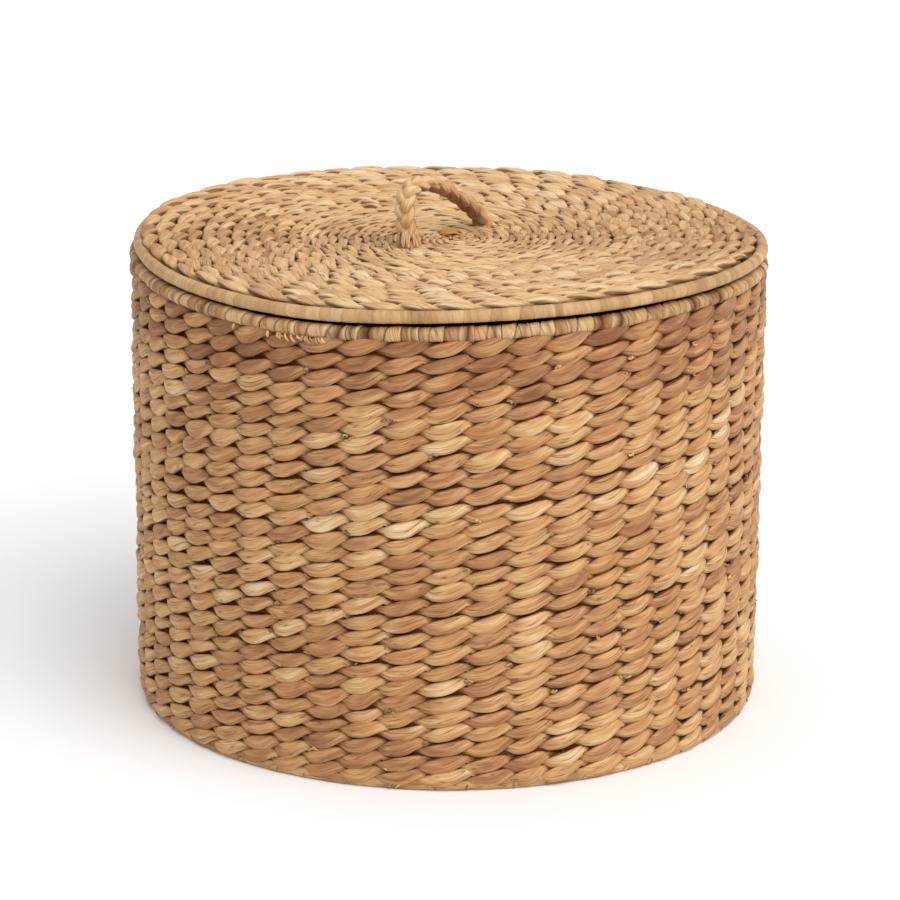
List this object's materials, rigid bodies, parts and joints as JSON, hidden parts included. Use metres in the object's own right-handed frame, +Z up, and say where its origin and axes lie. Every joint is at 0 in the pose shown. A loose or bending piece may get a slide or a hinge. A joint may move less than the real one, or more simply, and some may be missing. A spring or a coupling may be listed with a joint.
{
  "type": "lidded storage basket",
  "caption": "Round twined basket with a straight wall over a wire frame, a flat lift-off lid and a plaited loop handle on the lid.",
  "frame": {"origin": "centre of the foot, on the floor", "axes": "+Z up along the basket's axis; -Y towards the front"},
  "size_m": [0.4496, 0.4496, 0.3761],
  "materials": {
    "seagrass_weave": "dry twisted seagrass, satin fibres",
    "seagrass_rim": "wound seagrass strip, dark at its edges",
    "seagrass_edge": "smooth pale wound seagrass strip",
    "seagrass_plait": "plaited seagrass, satin fibres",
    "frame_wire": "plain drawn steel wire"
  },
  "bodies": {
    "basket": {"basket_frame": "frame_wire", "wall_weave": "seagrass_weave", "base_weave": "seagrass_weave", "rim_binding": "seagrass_rim"},
    "lid": {"lid_frame": "frame_wire", "lid_weave": "seagrass_weave", "lid_binding": "seagrass_edge", "handle_tail_a": "seagrass_plait", "handle_tail_b": "seagrass_plait"},
    "handle": {"handle_strand_1": "seagrass_plait", "handle_strand_2": "seagrass_plait", "handle_strand_3": "seagrass_plait"}
  },
  "joints": [
    {"name": "lid_lift", "type": "slide", "parent": "basket", "child": "lid", "axis": [0, 0, 1], "range_m": [0, 0.35]},
    {"name": "handle_lean", "type": "hinge", "parent": "lid", "child": "handle", "pos_m": [-0.0015, 0.005, 0.3359], "axis": [0.6424, 0.7664, 0], "range_deg": [-35, 35], "stiffness_Nm_per_rad": 0.02}
  ]
}
